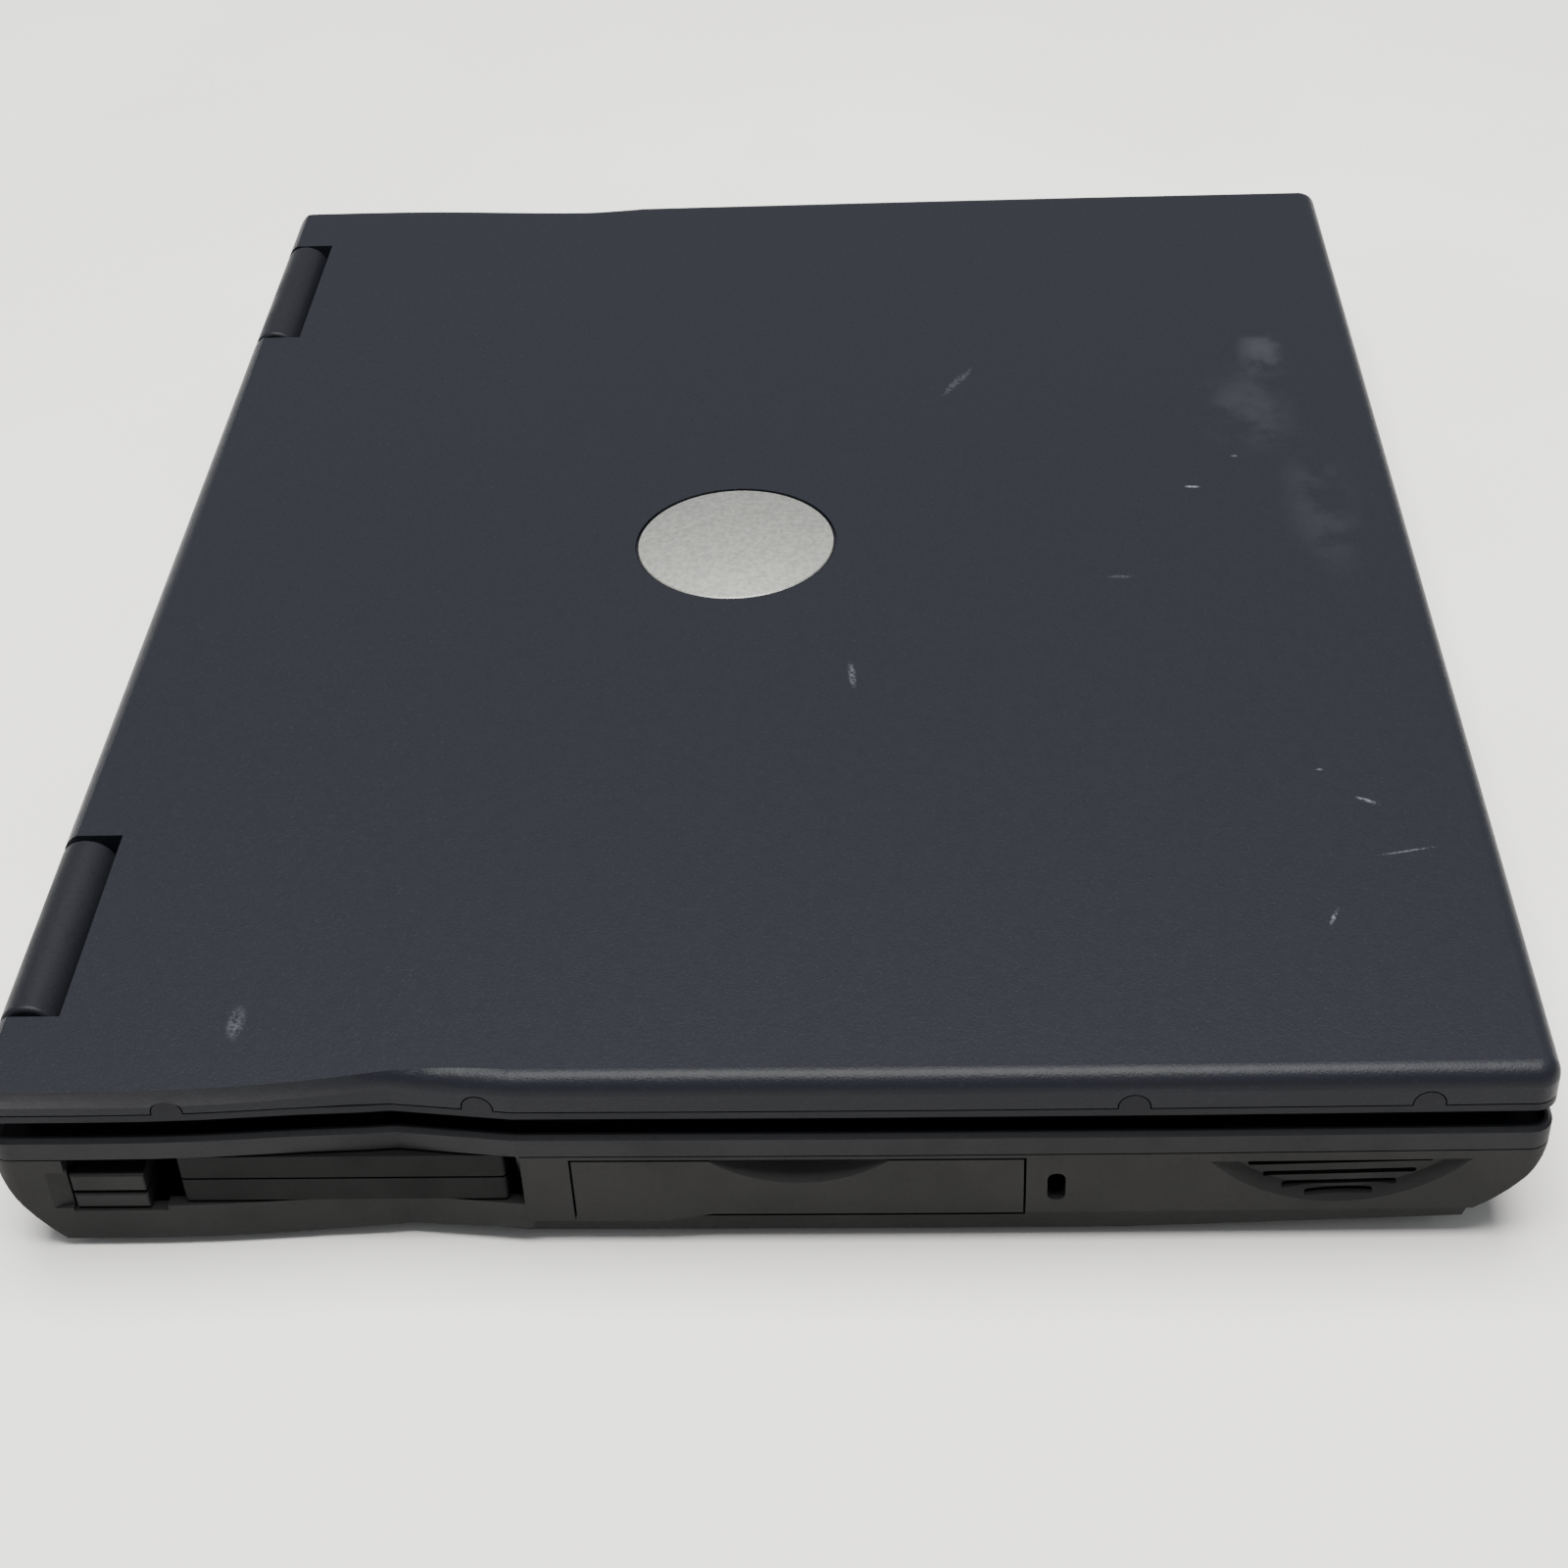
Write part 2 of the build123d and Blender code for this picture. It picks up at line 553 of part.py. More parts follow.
def round_ports():
    """Round pin sockets for a mouse and a television."""
    ports = []
    for x in (-122.0, -102.0):
        port = rod_y(6.1, 106, PORT_FACE_Y, x, 12.4) - rod_y(4.7, 113, 125, x, 12.4)
        port += rod_y(4.0, 112, PORT_FACE_Y - 1.0, x, 12.4)
        for angle in (40, 140, 220, 320):
            pin_x = x + 2.4 * math.cos(math.radians(angle))
            pin_z = 12.4 + 2.4 * math.sin(math.radians(angle))
            port -= rod_y(0.5, PORT_FACE_Y - 4, PORT_FACE_Y, pin_x, pin_z)
        ports.append(port)
    return group(ports)


def power_inlet():
    body = rod_y(4.9, 108, PORT_FACE_Y, -141.0, 12.0) - rod_y(3.4, 111, 125, -141.0, 12.0)
    return body + rod_y(1.0, 110, PORT_FACE_Y - 1.5, -141.0, 12.0)


def audio_jacks():
    jacks = []
    for y in AUDIO_Y:
        jack = rod_x(AUDIO_R, 146.5, HALF_WIDTH - 0.4, y, AUDIO_Z) - rod_x(1.8, 149, 165, y, AUDIO_Z)
        jacks.append(jack)
    return group(jacks)


# --------------------------------------------------------------- card slots
def pc_card_cage():
    """Sheet-metal guide for two stacked cards, open at the side of the machine."""
    y0, y1 = CARD_Y[0] - 1.6, CARD_Y[1] + 1.6
    cage = block(-152, CARD_X[1] + 3, y0, y1, LOWER_CARD_Z[0] - 1.0, UPPER_CARD_Z[1] + 1.0)
    cage -= block(-153, CARD_X[1] + 1, y0 + 0.8, y1 - 0.8, LOWER_CARD_Z[0] - 0.4, UPPER_CARD_Z[1] + 0.4)
    return cage


def card_blank(z_span):
    """Plastic blank that fills a card slot, with a shallow grip along its outer edge."""
    blank = block(*CARD_X, *CARD_Y, *z_span)
    blank -= block(CARD_X[0] + 3, CARD_X[0] + 60, CARD_Y[0] + 4, CARD_Y[1] - 4, z_span[1] - 0.5, z_span[1] + 1)
    return fillet(blank.edges().filter_by(Axis.Z).group_by(Axis.X)[0], radius=0.8)


def eject_button(z_span):
    """Push button beside the cards, on a rod that runs back along the cage."""
    button = block(-158.2, -151.0, *EJECT_Y, *z_span)
    button = fillet(button.edges().group_by(Axis.X)[0], radius=0.5)
    rod_z0 = (z_span[0] + z_span[1]) / 2 - 0.8
    return button + block(-151.0, -90.0, 103.6, 105.2, rod_z0, rod_z0 + 1.6)


# ------------------------------------------------------------------ drives
def hard_drive():
    body = block(-150.5, -50.5, -41.1, 28.9, 8.4, 17.9)
    label = block(-145, -62, -36, 25, 17.6, 19)
    spindle = rod_z(12.0, 17.6, 17.9, -110, -5.5)
    return body - label + spindle


def hard_drive_carrier():
    """Sheet tray under the drive, carrying the door in the case's side."""
    x0, x1, y0, y1, z0, z1 = DRIVE_BAY
    outer = block(-HALF_WIDTH - 5, -HALF_WIDTH + DOOR_DEPTH - GAP, y0 + GAP, y1 - GAP, STEP_Z, z1 - GAP)
    door = outer & base_form()
    door -= Pos(-HALF_WIDTH + 1.2, -6.4, 39.0) * Rot(0, 90, 0) * Cone(25.0, 21.6, 3.6)
    tray = block(-HALF_WIDTH + DOOR_DEPTH - GAP, x1 - GAP, y0 + GAP, y1 - GAP, z0 + GAP, z0 + 1.0)
    for y in (y0 + GAP, y1 - GAP - 0.8):
        tray += block(-HALF_WIDTH + DOOR_DEPTH - GAP, x1 - GAP, y, y + 0.8, z0 + 1.0, 15.0)
    return door + tray


def battery_pack():
    """Sealed pack whose front is part of the machine's front edge."""
    x0, x1, y0, y1, z0, z1 = BATTERY_BAY
    pack = block(x0 + GAP, x1 - GAP, y0, y1 - GAP, z0 + GAP, z1 - GAP) & base_form()
    for index in range(5):
        x = -90 + 8.0 * index
        pack -= block(x, x + 4.0, y1 - 6, y1 + 1, 9.0, 13.0)
    return pack


def battery_latch():
    """Catch slider in the underside, behind the battery."""
    x0, x1, y0, y1 = LATCH_SLOT
    slider = block(x0 + GAP, x1 - GAP, y0 + GAP, y1 - LATCH_TRAVEL - GAP, BELLY_Z + 0.2, 7.0)
    return slider - block(x0 + 4, x1 - 4, y0 + 2.5, y0 + 4, 0, BELLY_Z + 0.8)


def optical_drive():
    """Slim drive housing with an open front for its tray."""
    x0, x1, y0, y1, z0, z1 = OPTICAL_BAY
    case = block(x0 + GAP, x1 - GAP, -118.0, y1 - GAP, z0 + GAP, z1 - 0.8)
    return case - block(x0 + 2.6, x1 - 2.6, -119, y1 - 2.4, 6.4, 15.4)


def optical_tray():
    """Disc tray with a round recess, spindle and the drive's front bezel."""
    x0, x1, y0, y1, z0, z1 = OPTICAL_BAY
    mid_x = (x0 + x1) / 2
    plate = block(x0 + 3.0, x1 - 3.0, -118.4, -1.5, 7.0, 11.5)
    plate -= rod_z(60.4, 9.3, 13, mid_x, -57.5)
    plate -= rod_z(9.0, 6, 13, mid_x, -57.5)
    plate += block(mid_x - 12, mid_x + 12, -70, -45, 7.0, 8.2)
    plate += rod_z(7.0, 7.0, 11.2, mid_x, -57.5)
    bezel = block(x0 + GAP, x1 - GAP, -140, -118.4, z0 + GAP, z1 - GAP) & base_form()
    bezel -= block(111.2, 120.8, -140, -119.2, 10.2, 13.8)
    return plate + bezel


def optical_eject():
    """Push button in the tray's bezel."""
    button = block(111.6, 120.4, -125.0, -120.6, 10.6, 13.4)
    return fillet(button.edges().group_by(Axis.Y)[0], radius=0.5)


# --------------------------------------------------------------------- lid
def lid_section(y, side_x, crease_x, crease_z, turn_z, bulge):
    """Left half of the lid's cross-section at one place along its side."""
    turn = Vector(-side_x, turn_z)
    crease = Vector(-crease_x, crease_z)
    chord = crease - turn
    middle = (turn + crease) * 0.5 + Vector(-chord.Y, chord.X).normalized() * bulge
    with BuildSketch(Plane.XZ.offset(-y)) as sketch:
        with BuildLine():
            Polyline((-crease_x, crease_z), (0, TOP_Z), (0, COVER_Z), (-side_x, COVER_Z), (-side_x, turn_z))
            ThreePointArc((turn.X, turn.Y), (middle.X, middle.Y), (crease.X, crease.Y))
        make_face()
    return sketch.sketch


def lid_form():
    """Outer form of the lid: rolled edge at the front, a sharp flared crease behind the waist."""
    ahead = block(-200, 200, -200, WAIST_END_Y, 0, 50)
    front = plan_prism(LID_Z, TOP_Z) & ahead
    rim = front.faces().sort_by(Axis.Z)[-1].edges()
    front = fillet(rim.filter_by(lambda edge: edge.center().Y < WAIST_END_Y - 1), radius=EDGE_R)
    rear_end = (REAR_Y, *REAR_STATIONS[0][1:])
    wing = loft([lid_section(*station) for station in (rear_end, *REAR_STATIONS)])
    waist = loft([lid_section(*station) for station in WAIST_STATIONS])
    upper = both_sides(wing + waist)
    upper &= extrude(Pos(0, 0, LID_Z) * RectangleRounded(2 * REAR_STATIONS[0][2], 2 * REAR_Y, CORNER_R), 20)
    lower = plan_prism(LID_Z, COVER_Z) - ahead
    return front + upper + lower


def lid_prism(z0, z1):
    """Slice of the lid between two levels."""
    return lid_form() & block(-200, 200, -200, 200, z0, z1)


def rounded_rear(shape):
    """The shape with its rear edge rounded about the hinge axis, level with the barrels."""
    ahead = block(-200, 200, -200, HINGE_Y, 0, 50)
    return shape & (ahead + rod_x(BARREL_R + 0.05, -200, 200, HINGE_Y, HINGE_Z))


def hinge_notches():
    """Openings in the lid's rear edge for the fixed barrels."""
    return both_sides(block(NOTCH_X[0], NOTCH_X[1], NOTCH_Y, REAR_Y + 10, 20, 50))


def tab_form(radius):
    """Half-round tabs along both sides of the bezel, rising into the cover."""
    tabs = Part()
    for y in TAB_Y:
        tabs += rod_x(radius, -170, 170, y, COVER_Z + 0.5)
        tabs += block(-170, 170, y - radius, y + radius, COVER_Z - 0.5, COVER_Z + 0.5)
    return tabs & block(-170, 170, -130, 130, COVER_Z, COVER_Z + 6)


def lid_cover():
    cover = rounded_rear(lid_prism(COVER_Z, TOP_Z))
    cover -= plan_prism(COVER_Z - 1, TOP_Z - LID_WALL, LID_WALL + 0.6)
    for x in (-NOTCH_X[1], NOTCH_X[0]):
        cover += block(x - 1.6, x + NOTCH_X[1] - NOTCH_X[0] + 1.6, NOTCH_Y - 1.6, 126.7, COVER_Z, TOP_Z - 1)
    cover -= hinge_notches()
    cover -= both_sides(rod_x(PIN_R + 0.5, 88.0, NOTCH_X[0] + 1, HINGE_Y, HINGE_Z))
    cover -= rod_z(BADGE_R + 0.5, TOP_Z - BADGE_SINK, TOP_Z + 2, 0, BADGE_Y)
    cover -= tab_form(TAB_R + 0.22) & (lid_prism(COVER_Z, COVER_Z + 6) - plan_prism(COVER_Z, COVER_Z + 6, 1.3))
    cover -= block(-14.0, 18.0, FRONT_Y - 5, -121, 31.8, 35.2)
    return cover - seam(COVER_Z, COVER_Z + 0.25)


def display_bezel():
    """Frame around the screen, with tabs that key into the cover."""
    frame = rounded_rear(plan_prism(LID_Z, COVER_Z))
    window = Pos(0, 0, LID_Z) * Rectangle(2 * WINDOW[0] + 3, 2 * WINDOW[1] + 3)
    frame -= extrude(window, COVER_Z - LID_Z, taper=35)
    frame -= hinge_notches()
    frame -= block(-8.5, 12.5, -122.0, -115.5, 20, 40)
    ring = plan_prism(COVER_Z, COVER_Z + 6) - plan_prism(COVER_Z, COVER_Z + 6, 1.2)
    return frame + (tab_form(TAB_R) & ring)


def lcd_panel():
    """Screen module: glass front with a metal frame behind it."""
    panel = block(-PANEL[0], PANEL[0], -PANEL[1], PANEL[1], COVER_Z + 0.3, TOP_Z - LID_WALL - 0.2)
    return chamfer(panel.edges().group_by(Axis.Z)[-1], length=1.0)


def inverter_board():
    board = block(-56, 56, 114.5, 124.0, 31.8, 33.0)
    board += block(-52, -34, 115.5, 123, 33.0, 35.8)
    return board + block(20, 50, 115.5, 123, 33.0, 35.0)


def hinge_arms():
    """Steel arms fixed in the lid, each with the pin that turns in a barrel."""
    end_x = NOTCH_X[0] - 2.2
    arm = block(62, end_x, 114.8, 124.2, HINGE_Z - 1.5, HINGE_Z + 1.5)
    arm += block(end_x - 3, end_x, 118.2, 125.4, HINGE_Z - 1.5, HINGE_Z + 3.0)
    arm += rod_x(PIN_R, end_x - 1, PIN_END_X, HINGE_Y, HINGE_Z)
    for x in (68, 80):
        arm += rod_z(2.4, HINGE_Z + 1.5, HINGE_Z + 2.6, x, 119.5)
    return group([both_sides(arm)])


def hinge_barrels():
    """Fixed barrels on the rear deck, bored for the pins of the lid's arms."""
    x0, x1 = BARREL_X
    barrel = rod_x(BARREL_R, x0, x1, HINGE_Y, HINGE_Z)
    barrel = fillet(barrel.edges().filter_by(GeomType.CIRCLE), radius=0.9)
    barrel += block(x0 + 1, x1 - 1, 119.5, REAR_Y - 1.5, DECK_Z, HINGE_Z)
    barrel -= rod_x(PIN_R + PIN_CLEARANCE, x0 - 1, PIN_END_X + 1, HINGE_Y, HINGE_Z)
    return group([both_sides(barrel)])


def badge():
    """Plain round badge with a slightly domed face and a bevelled rim."""
    dome_r = 260.0
    dome = Pos(0, BADGE_Y, TOP_Z + 0.7 - dome_r) * Sphere(dome_r)
    disc = rod_z(BADGE_R, TOP_Z - BADGE_SINK, TOP_Z + 2, 0, BADGE_Y)
    bevel = Pos(0, BADGE_Y, TOP_Z) * Cone(BADGE_R + 0.5, BADGE_R - 1.1, 2 * BADGE_SINK)
    return disc & bevel & dome


def lid_bumpers():
    """Small rubber pads that keep the closed screen off the palm rest."""
    pads = []
    for x in (-148, 148):
        for y in (-118, 0, 88):
            pads.append(block(x - 2.5, x + 2.5, y - 4, y + 4, DECK_Z + 0.4, LID_Z))
    return group(pads)


def lid_latch():
    """Slider behind the lid's front edge: thumb piece, bar and the hook below it."""
    latch = block(-13.2, 13.2, FRONT_Y + 0.4, -122.6, 32.2, 34.8)
    latch += block(-7.0, 7.0, -122.6, -117.0, 32.2, 34.2)
    latch += block(-7.0, 7.0, -121.0, -117.0, 24.6, 32.2)
    latch += block(-7.0, 7.0, -117.0, -115.8, 24.6, 26.2)
    for x in range(-10, 11, 4):
        latch -= block(x - 0.5, x + 0.5, FRONT_Y - 2, FRONT_Y + 0.9, 32, 35)
    return latch


# -------------------------------------------------------------- write parts
def main():
    os.makedirs("parts", exist_ok=True)
    parts = {
        "bottom_case": bottom_case(),
        "top_case": top_case(),
        "control_strip": control_strip(),
        "status_lights": status_lights(),
        "power_button": power_button(),
        "touchpad": touchpad(),
        "pad_button_left": pointing_buttons(PAD_BUTTON_Y, True),
        "pad_button_right": pointing_buttons(PAD_BUTTON_Y, False),
        "stick_button_left": pointing_buttons(STICK_BUTTON_Y, True),
        "stick_button_right": pointing_buttons(STICK_BUTTON_Y, False),
        "keyboard_plate": keyboard_plate(),
        "pointing_stick": pointing_stick(),
        "function_keys": function_keys(),
        "space_bar": space_bar(),
        "memory_door": memory_door(),
        "rubber_feet": rubber_feet(),
        "case_screws": case_screws(),
        "motherboard": motherboard(),
        "board_chips": board_chips(),
        "heatsink": heatsink(),
        "fan_housing": fan_housing(),
        "fan_rotor": fan_rotor(),
        "memory_modules": memory_modules(),
        "speakers": speakers(),
        "network_jacks": network_jacks(),
        "usb_ports": usb_ports(),
        "round_ports": round_ports(),
        "power_inlet": power_inlet(),
        "audio_jacks": audio_jacks(),
        "parallel_port": d_plug_port("parallel_port", 25),
        "serial_port": d_plug_port("serial_port", 9),
        "video_port": d_plug_port("video_port", 15),
        "pc_card_cage": pc_card_cage(),
        "card_blank_upper": card_blank(UPPER_CARD_Z),
        "card_blank_lower": card_blank(LOWER_CARD_Z),
        "eject_button_upper": eject_button(UPPER_EJECT_Z),
        "eject_button_lower": eject_button(LOWER_EJECT_Z),
        "hard_drive": hard_drive(),
        "hard_drive_carrier": hard_drive_carrier(),
        "battery_pack": battery_pack(),
        "battery_latch": battery_latch(),
        "optical_drive": optical_drive(),
        "optical_tray": optical_tray(),
        "optical_eject": optical_eject(),
        "lid_cover": lid_cover(),
        "display_bezel": display_bezel(),
        "lcd_panel": lcd_panel(),
        "inverter_board": inverter_board(),
        "hinge_arms": hinge_arms(),
        "hinge_barrels": hinge_barrels(),
        "badge": badge(),
        "lid_bumpers": lid_bumpers(),
        "lid_latch": lid_latch(),
    }
    for name, (row, widths) in KEY_ROWS.items():
        parts[name] = key_row(KEYS_FRONT + row * ROW_PITCH, ROW_PITCH, widths)
    for name, shape in parts.items():
        save(name, shape)


main()
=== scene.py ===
import math

import bmesh
import bpy
from mathutils import Matrix, Vector


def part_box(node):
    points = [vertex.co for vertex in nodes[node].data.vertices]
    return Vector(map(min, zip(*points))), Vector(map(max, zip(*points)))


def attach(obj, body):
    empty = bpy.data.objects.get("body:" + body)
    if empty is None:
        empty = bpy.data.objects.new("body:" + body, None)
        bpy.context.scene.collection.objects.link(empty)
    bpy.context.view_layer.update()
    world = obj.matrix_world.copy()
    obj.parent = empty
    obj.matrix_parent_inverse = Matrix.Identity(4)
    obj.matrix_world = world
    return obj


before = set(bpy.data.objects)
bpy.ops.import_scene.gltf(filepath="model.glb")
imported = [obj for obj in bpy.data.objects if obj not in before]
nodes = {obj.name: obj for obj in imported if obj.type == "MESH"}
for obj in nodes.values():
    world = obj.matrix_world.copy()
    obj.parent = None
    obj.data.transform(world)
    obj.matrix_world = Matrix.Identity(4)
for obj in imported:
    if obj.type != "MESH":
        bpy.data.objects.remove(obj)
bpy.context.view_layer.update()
scene = bpy.context.scene

MM = 0.001
LID_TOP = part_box("lid_cover")[1].z


# ---------------------------------------------------------------- materials
class Finish:
    """A procedural material built up from one Principled shader."""

    def __init__(self, name, colour, roughness, metallic=0.0, specular=0.5):
        self.material = bpy.data.materials.new(name)
        self.material.use_nodes = True
        self.tree = self.material.node_tree
        self.shader = self.tree.nodes["Principled BSDF"]
        self.colour = None
        self.bump = None
        self.place = self.add("ShaderNodeTexCoord").outputs["Object"]
        self.shader.inputs["Base Color"].default_value = (*colour, 1.0)
        self.shader.inputs["Roughness"].default_value = roughness
        self.shader.inputs["Metallic"].default_value = metallic
        self.shader.inputs["Specular IOR Level"].default_value = specular
        self.base = colour

    def add(self, kind, **settings):
        node = self.tree.nodes.new(kind)
        for key, value in settings.items():
            setattr(node, key, value)
        return node

    def link(self, source, target):
        self.tree.links.new(source, target)

    def noise(self, scale, detail=3.0, rough=0.55, stretch=None):
        """Noise value over the object's own coordinates; scale is in waves per metre."""
        node = self.add("ShaderNodeTexNoise")
        node.inputs["Scale"].default_value = scale
        node.inputs["Detail"].default_value = detail
        node.inputs["Roughness"].default_value = rough
        place = self.place
        if stretch:
            mapping = self.add("ShaderNodeMapping")
            mapping.inputs["Scale"].default_value = stretch
            self.link(place, mapping.inputs["Vector"])
            place = mapping.outputs["Vector"]
        self.link(place, node.inputs["Vector"])
        return node.outputs["Fac"]

    def ramp(self, value, low, high, start=0.0, end=1.0):
        """Remap a value smoothly from the range low-high to start-end."""
        node = self.add("ShaderNodeMapRange", interpolation_type="SMOOTHSTEP")
        node.inputs["From Min"].default_value = low
        node.inputs["From Max"].default_value = high
        node.inputs["To Min"].default_value = start
        node.inputs["To Max"].default_value = end
        self.link(value, node.inputs["Value"])
        return node.outputs["Result"]

    def math(self, operation, first, second):
        node = self.add("ShaderNodeMath", operation=operation)
        for socket, value in zip(node.inputs, (first, second)):
            if isinstance(value, (int, float)):
                socket.default_value = value
            else:
                self.link(value, socket)
        return node.outputs[0]

    def grain(self, scale, strength, distance=0.0002, detail=2.0):
        """Fine moulded grain as bump; several grains stack."""
        node = self.add("ShaderNodeBump")
        node.inputs["Strength"].default_value = strength
        node.inputs["Distance"].default_value = distance
        self.link(self.noise(scale, detail), node.inputs["Height"])
        if self.bump is not None:
            self.link(self.bump, node.inputs["Normal"])
        self.bump = node.outputs["Normal"]
        self.link(self.bump, self.shader.inputs["Normal"])
        return self

    def tint(self, mask, colour):
        """Blend the colour so far towards another one where the mask is high."""
        node = self.add("ShaderNodeMix", data_type="RGBA")
        if self.colour is None:
            node.inputs["A"].default_value = (*self.base, 1.0)
        else:
            self.link(self.colour, node.inputs["A"])
        node.inputs["B"].default_value = (*colour, 1.0)
        self.link(mask, node.inputs["Factor"])
        self.colour = node.outputs["Result"]
        self.link(self.colour, self.shader.inputs["Base Color"])
        return self

    def mottle(self, scale, colour, low=0.42, high=0.68):
        return self.tint(self.ramp(self.noise(scale), low, high), colour)

    def rub(self, scale, low, high):
        """Let the roughness drift between two values over the surface."""
        value = self.ramp(self.noise(scale, 4.0), 0.3, 0.7, low, high)
        self.link(value, self.shader.inputs["Roughness"])
        return self

    def put_on(self, *names):
        for name in names:
            mesh = nodes[name].data
            mesh.materials.clear()
            mesh.materials.append(self.material)
        return self


def shade(colour, factor):
    return tuple(channel * factor for channel in colour)


def moulded_plastic(name, colour, roughness=0.5, specular=0.5):
    """Fine spark-eroded plastic: small even grain, a little drift in tone and gloss."""
    finish = Finish(name, colour, roughness, specular=specular)
    finish.mottle(900.0, shade(colour, 0.8), 0.5, 0.75)
    finish.rub(60.0, roughness - 0.05, roughness + 0.08)
    return finish.grain(2600.0, 0.35, 0.00012).grain(900.0, 0.15, 0.0002)


SCRATCHES = [
    # start (x, y), end (x, y), half width in mm, strength
    ((-148.5, 87.0), (-138.0, 87.2), 1.9, 0.08),
    ((-53.0, -15.3), (-42.5, -14.3), 0.9, 0.14),
    ((69.7, -39.5), (57.0, -33.6), 1.2, 0.05),
    ((72.0, -41.5), (62.0, -37.0), 0.8, 0.05),
    ((18.3, -84.0), (18.0, -88.0), 0.6, 0.3),
    ((-15.3, -65.0), (-15.6, -72.0), 0.8, 0.05),
    ((-87.5, -105.0), (-90.4, -110.0), 0.6, 0.24),
    ((-104.5, -106.0), (-101.8, -119.0), 0.35, 0.14),
    ((-117.8, -98.5), (-123.0, -96.2), 0.5, 0.2),
    ((-79.4, -99.0), (-79.8, -101.0), 0.4, 0.16),
    ((30.0, -95.0), (30.4, -97.0), 0.6, 0.16),
]
SMUDGES = [
    # centre (x, y), radius (x, y) in mm, strength
    ((75.0, -107.0), (16.0, 7.0), 0.035),
    ((50.0, -101.0), (24.0, 13.0), 0.018),
    ((10.0, -112.0), (34.0, 10.0), 0.014),
]
SCUFF_COLOUR = (0.34, 0.36, 0.4)
MARK_DEPTH = 0.01             # how deep a mark reaches into the lid, in metres


def scratch_mask(finish, start, end, half_width, strength):
    """A thin ragged stroke between two points on the lid, as a mask."""
    a = Vector((start[0], start[1])) * MM
    b = Vector((end[0], end[1])) * MM
    along = (b - a).normalized()
    mapping = finish.add("ShaderNodeMapping", vector_type="TEXTURE")
    middle = (a + b) / 2
    mapping.inputs["Location"].default_value = (middle.x, middle.y, LID_TOP)
    mapping.inputs["Rotation"].default_value = (0, 0, math.atan2(along.y, along.x))
    mapping.inputs["Scale"].default_value = ((b - a).length / 2, half_width * MM, MARK_DEPTH)
    finish.link(finish.place, mapping.inputs["Vector"])
    reach = finish.add("ShaderNodeVectorMath", operation="LENGTH")
    finish.link(mapping.outputs["Vector"], reach.inputs[0])
    body = finish.ramp(reach.outputs["Value"], 0.25, 1.0, strength, 0.0)
    ragged = finish.ramp(finish.noise(1400.0, 2.0), 0.35, 0.6)
    return finish.math("MULTIPLY", body, ragged)


def smudge_mask(finish, centre, radius, strength):
    """A soft cloudy patch of dust on the lid, as a mask."""
    mapping = finish.add("ShaderNodeMapping", vector_type="TEXTURE")
    mapping.inputs["Location"].default_value = (centre[0] * MM, centre[1] * MM, LID_TOP)
    mapping.inputs["Scale"].default_value = (radius[0] * MM, radius[1] * MM, MARK_DEPTH)
    finish.link(finish.place, mapping.inputs["Vector"])
    reach = finish.add("ShaderNodeVectorMath", operation="LENGTH")
    finish.link(mapping.outputs["Vector"], reach.inputs[0])
    body = finish.ramp(reach.outputs["Value"], 0.2, 1.0, strength, 0.0)
    cloudy = finish.ramp(finish.noise(90.0, 4.0), 0.4, 0.65)
    return finish.math("MULTIPLY", body, cloudy)


def lid_finish():
    """Dark blue-grey lid paint with fine sparkle, dust patches and a few scratches."""
    colour = (0.0088, 0.0095, 0.0132)
    finish = Finish("lid_paint", colour, 0.38, specular=0.11)
    finish.mottle(1500.0, shade(colour, 1.4), 0.56, 0.74)
    finish.rub(400.0, 0.36, 0.4)
    finish.grain(2800.0, 0.5, 0.00012).grain(1100.0, 0.2, 0.0002)
    for start, end, half_width, strength in SCRATCHES:
        finish.tint(scratch_mask(finish, start, end, half_width, strength), SCUFF_COLOUR)
    for centre, radius, strength in SMUDGES:
        finish.tint(smudge_mask(finish, centre, radius, strength), SCUFF_COLOUR)
    return finish


def metal(name, colour, roughness, scale=400.0, stretch=None):
    finish = Finish(name, colour, roughness, metallic=1.0)
    finish.mottle(scale / 6, shade(colour, 0.86))
    value = finish.noise(scale, 4.0, stretch=stretch)
    drift = finish.ramp(value, 0.3, 0.7, roughness - 0.06, roughness + 0.1)
    finish.link(drift, finish.shader.inputs["Roughness"])
    return finish.grain(scale * 3, 0.12, 0.0001)


def badge_finish():
    """Satin silver foil of one even tone."""
    finish = Finish("badge_silver", (0.46, 0.47, 0.44), 0.4, metallic=1.0)
    finish.mottle(1500.0, (0.43, 0.44, 0.41))
    finish.rub(900.0, 0.38, 0.44)
    return finish.grain(2400.0, 0.1, 0.00005)


def circuit_finish():
    """Green solder mask with traces and pads."""
    finish = Finish("circuit", (0.012, 0.085, 0.035), 0.35)
    wave = finish.add("ShaderNodeTexVoronoi", feature="DISTANCE_TO_EDGE", distance="MANHATTAN")
    wave.inputs["Scale"].default_value = 240.0
    finish.link(finish.place, wave.inputs["Vector"])
    finish.tint(finish.ramp(wave.outputs["Distance"], 0.0, 0.08, 1.0, 0.0), (0.03, 0.17, 0.07))
    finish.tint(finish.ramp(finish.noise(620.0, 1.0), 0.66, 0.7), (0.4, 0.32, 0.14))
    return finish.grain(800.0, 0.2)


def screen_finish():
    """Unlit screen behind a low-sheen film, with a faint pixel mesh."""
    finish = Finish("screen", (0.012, 0.013, 0.015), 0.28)
    finish.mottle(9.0, (0.016, 0.018, 0.02))
    finish.rub(12.0, 0.24, 0.34)
    return finish.grain(3600.0, 0.08, 0.00005)


